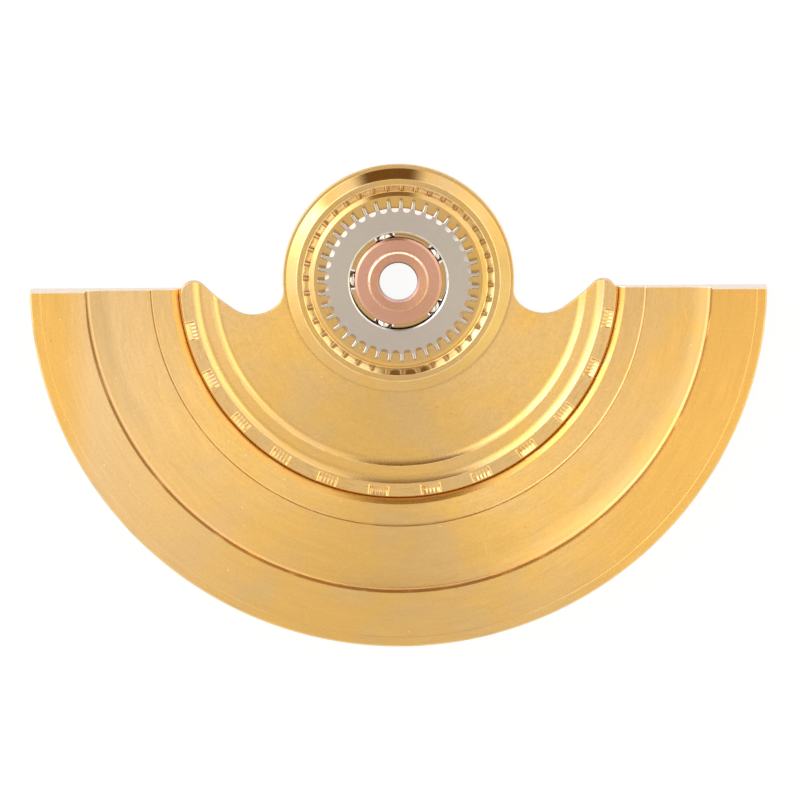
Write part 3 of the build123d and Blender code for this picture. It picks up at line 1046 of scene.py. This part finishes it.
# Core and cone ring
lathe_columns = 180
core = Shell()
core_line = rounded(
    [
        (screw_head_radius, 0, 0.02),
        (core_tube_radius, 0, 0.02),
        (core_tube_radius, ball_plane, 0.01),
        (inner_apex_radius, ball_plane, 0.01),
        (core_flange_radius, ball_plane + race_half_height, 0.015),
        (core_flange_radius, core_flange_top - core_flange_bevel_depth, 0.02),
        (core_flange_radius - core_flange_bevel_width, core_flange_top, 0.05),
        (hub_radius, core_flange_top, 0.015),
        (hub_radius, hub_top - hub_bevel, 0.015),
        (hub_radius - hub_bevel, hub_top, 0.02),
        (screw_bore_radius + screw_bore_bevel, hub_top - hub_dish, 0.02),
        (screw_bore_radius, hub_top - hub_dish - screw_bore_bevel, 0.02),
        (screw_bore_radius, screw_seat_height, 0.015),
        (screw_head_radius, screw_seat_height, 0.02),
    ]
)
lathe(core, core_line, lathe_columns)
core.make("core_body", "core", "bearing_core", copper_alloy)

cone = Shell()
cone_line = rounded(
    [
        (core_tube_radius, bearing_recess, 0.01),
        (core_flange_radius, bearing_recess, bore_edge_break),
        (core_flange_radius, ball_plane - race_half_height, 0.015),
        (inner_apex_radius, ball_plane, 0.008),
        (core_tube_radius, ball_plane, 0.008),
    ]
)
lathe(cone, cone_line, lathe_columns)
cone.make("cone_body", "core", "cone_ring", nickel_steel)

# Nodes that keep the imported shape
for name, material in [("ball_cage", cage_brass)] + [
    (f"ball_{index + 1}", ball_steel) for index in range(ball_count)
]:
    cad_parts[name].material_slots[0].material = material

# Stage, light and camera
floor_mesh = bpy.data.meshes.new("floor")
floor_half = 600
floor_drop = 0.004
floor_mesh.from_pydata(
    [
        (x * floor_half * METRES, y * floor_half * METRES, -floor_drop * METRES)
        for x, y in ((-1, -1), (1, -1), (1, 1), (-1, 1))
    ],
    [],
    [(0, 1, 2, 3)],
)
floor = bpy.data.objects.new("floor", floor_mesh)
bpy.context.scene.collection.objects.link(floor)


def straight_to_white(tree, ordinary, share, mirrored=False):
    """Shader that is white by that share to the camera, and in reflections too where mirrored."""
    path = node(tree, "ShaderNodeLightPath")
    seen = path.outputs["Is Camera Ray"]
    if mirrored:
        seen = maths(tree, "MAXIMUM", seen, path.outputs["Is Glossy Ray"])
        seen = maths(tree, "MAXIMUM", seen, path.outputs["Is Transmission Ray"])
    amount = maths(tree, "MULTIPLY", seen, share)
    white = node(tree, "ShaderNodeEmission" if mirrored else "ShaderNodeBackground")
    white.inputs["Color"].default_value = (1, 1, 1, 1)
    white.inputs["Strength"].default_value = 1
    mixed = node(tree, "ShaderNodeMixShader")
    tree.links.new(amount, mixed.inputs[0])
    tree.links.new(ordinary.outputs[0], mixed.inputs[1])
    tree.links.new(white.outputs[0], mixed.inputs[2])
    return mixed


paper = bpy.data.materials.new("white_paper")
paper.use_nodes = True
paper_tree = paper.node_tree
paper_tree.nodes.clear()
diffuse = node(paper_tree, "ShaderNodeBsdfDiffuse")
diffuse.inputs["Color"].default_value = (0.9, 0.9, 0.9, 1)
paper_output = node(paper_tree, "ShaderNodeOutputMaterial")
floor_white_share = 0.92
paper_shader = straight_to_white(paper_tree, diffuse, floor_white_share, mirrored=True)
paper_tree.links.new(paper_shader.outputs[0], paper_output.inputs[0])
floor.data.materials.append(paper)

# The studio is a white tent: its wall's light by azimuth, and its roof's light from left to right
wall_light = [
    # azimuth, strength, colour
    (0, 1.45, (1.0, 1.0, 0.85)),
    (35, 1.8, (1.0, 1.0, 1.0)),
    (80, 1.4, (1.0, 1.0, 1.0)),
    (120, 2.4, (1.0, 1.0, 1.0)),
    (150, 4.6, (1.0, 1.0, 1.0)),
    (178, 2.3, (1.0, 1.0, 1.0)),
    (215, 1.4, (1.0, 1.0, 1.0)),
    (250, 1.25, (1.0, 0.97, 0.88)),
    (290, 1.25, (1.0, 0.94, 0.72)),
    (325, 1.6, (1.0, 1.0, 0.7)),
    (350, 1.55, (1.0, 1.0, 0.78)),
    (360, 1.45, (1.0, 1.0, 0.85)),
]
brightest = 5.0
dim_wall = (1.6, 1.6, 1.5)
left_roof = (0.97, 1.0, 1.08)
right_roof = (1.12, 1.03, 0.78)
glow_light = (2.6, 2.5, 1.75)
opening_light = (0.25, 0.135, 0.05)
strip_light = (3.6, 3.4, 3.4)
tent_strength = 0.87
world = bpy.data.worlds.new("studio")
bpy.context.scene.world = world
world.use_nodes = True
sky = world.node_tree
sky.nodes.clear()
split = node(sky, "ShaderNodeSeparateXYZ")
sky.links.new(node(sky, "ShaderNodeTexCoord").outputs["Generated"], split.inputs[0])
east, north, up = split.outputs
azimuth = maths(sky, "ARCTAN2", north, east)
wall = node(sky, "ShaderNodeValToRGB")
feed(sky, wall.inputs[0], maths(sky, "FRACT", maths(sky, "MULTIPLY_ADD", azimuth, 1 / (2 * pi), 1)))
stops = wall.color_ramp.elements
for index, (angle, strength, colour) in enumerate(wall_light):
    at_end = index in (0, len(wall_light) - 1)
    stop = stops[-1 if index else 0] if at_end else stops.new(angle / 360)
    stop.color = (*(channel * strength / brightest for channel in colour), 1)
bright_wall = node(sky, "ShaderNodeVectorMath", operation="SCALE")
bright_wall.inputs["Scale"].default_value = brightest
sky.links.new(wall.outputs[0], bright_wall.inputs[0])

# Low and between +Y and -X the wall is dimmer
low_part = between(sky, azimuth, 1.2, 1.6)
low_part = maths(sky, "MULTIPLY", low_part, between(sky, azimuth, 2.35, 2.6, 1, 0))
low_part = maths(sky, "MULTIPLY", low_part, between(sky, up, 0.45, 0.6, 1, 0))
walls = blend(sky, low_part, bright_wall.outputs[0], dim_wall)

# The roof is above the wall, and glows high on the left
roof = blend(sky, between(sky, east, -0.6, 0.6), left_roof, right_roof)
high = between(sky, up, sin(radians(56)), sin(radians(81)))
light = blend(sky, high, walls, roof)
glow = maths(sky, "MULTIPLY", between(sky, east, -0.1, -0.35), between(sky, up, 0.8, 0.9))
light = blend(sky, glow, light, glow_light)

# Dark opening towards +Y, and a bright strip low on that side
opening_half_angle = 19
opening_turn = 6
off_middle = maths(sky, "MULTIPLY_ADD", north, tan(radians(opening_turn)), east)
inside = maths(sky, "MULTIPLY", north, tan(radians(opening_half_angle)))
inside = maths(sky, "SUBTRACT", inside, maths(sky, "ABSOLUTE", off_middle))
opening = maths(sky, "MULTIPLY", between(sky, inside, -0.1, 0.1), between(sky, north, 0.1, 0.7))
opening = maths(sky, "MULTIPLY", opening, between(sky, up, 0.14, 0.3))
opening = maths(sky, "MULTIPLY", opening, between(sky, up, 0.45, 0.7, 1, 0.8))
light = blend(sky, opening, light, opening_light)
upper_left = maths(sky, "MULTIPLY_ADD", east, -0.5, north)
strip = maths(sky, "MULTIPLY", between(sky, up, 0.14, 0.26, 1, 0), between(sky, upper_left, 0.0, 0.6))
light = blend(sky, strip, light, strip_light)
tent = node(sky, "ShaderNodeBackground")
tent.inputs["Strength"].default_value = tent_strength
feed(sky, tent.inputs["Color"], light)
sky_output = node(sky, "ShaderNodeOutputWorld")
sky.links.new(straight_to_white(sky, tent, 1).outputs[0], sky_output.inputs[0])

# Two soft boxes above the object: a cool one on the left and a warm one on the right
box_size = 40
strongest_channel = 1.3
for name, stand, colour, strength in (
    ("cool_box", (-60, 14, 88), (0.95, 1.0, 1.15), 0.4),
    ("warm_box", (42, 2, 56), (1.25, 0.98, 0.4), 0.85),
):
    box_light = bpy.data.lights.new(name, "AREA")
    box_light.size = box_size * METRES
    box_light.color = [channel / strongest_channel for channel in colour]
    box_light.energy = strength * strongest_channel * pi * (box_size * METRES) ** 2
    box = bpy.data.objects.new(name, box_light)
    bpy.context.scene.collection.objects.link(box)
    stand = Vector(stand)
    facing = stand.to_track_quat("Z", "Y").to_matrix().to_4x4()
    box.matrix_world = Matrix.Translation(stand * METRES) @ facing

bpy.context.scene.view_settings.view_transform = "Standard"

camera_tilt = 8
camera_roll = -0.35
view_width = 27.43
lens = 400
sensor = 36
aim = Vector((0.03, -4.2, 0))
camera_data = bpy.data.cameras.new("camera")
camera_data.lens = lens
camera_data.sensor_width = sensor
camera = bpy.data.objects.new("camera", camera_data)
bpy.context.scene.collection.objects.link(camera)
turn = Matrix.Rotation(radians(-camera_tilt), 4, "X")
roll = Matrix.Rotation(radians(camera_roll), 4, "Z")
distance = view_width * lens / sensor
back = turn @ Vector((0, 0, distance))
camera.matrix_world = Matrix.Translation((aim + back) * METRES) @ turn @ roll
camera_data.clip_start = 0.001
camera_data.clip_end = 10
bpy.context.scene.camera = camera
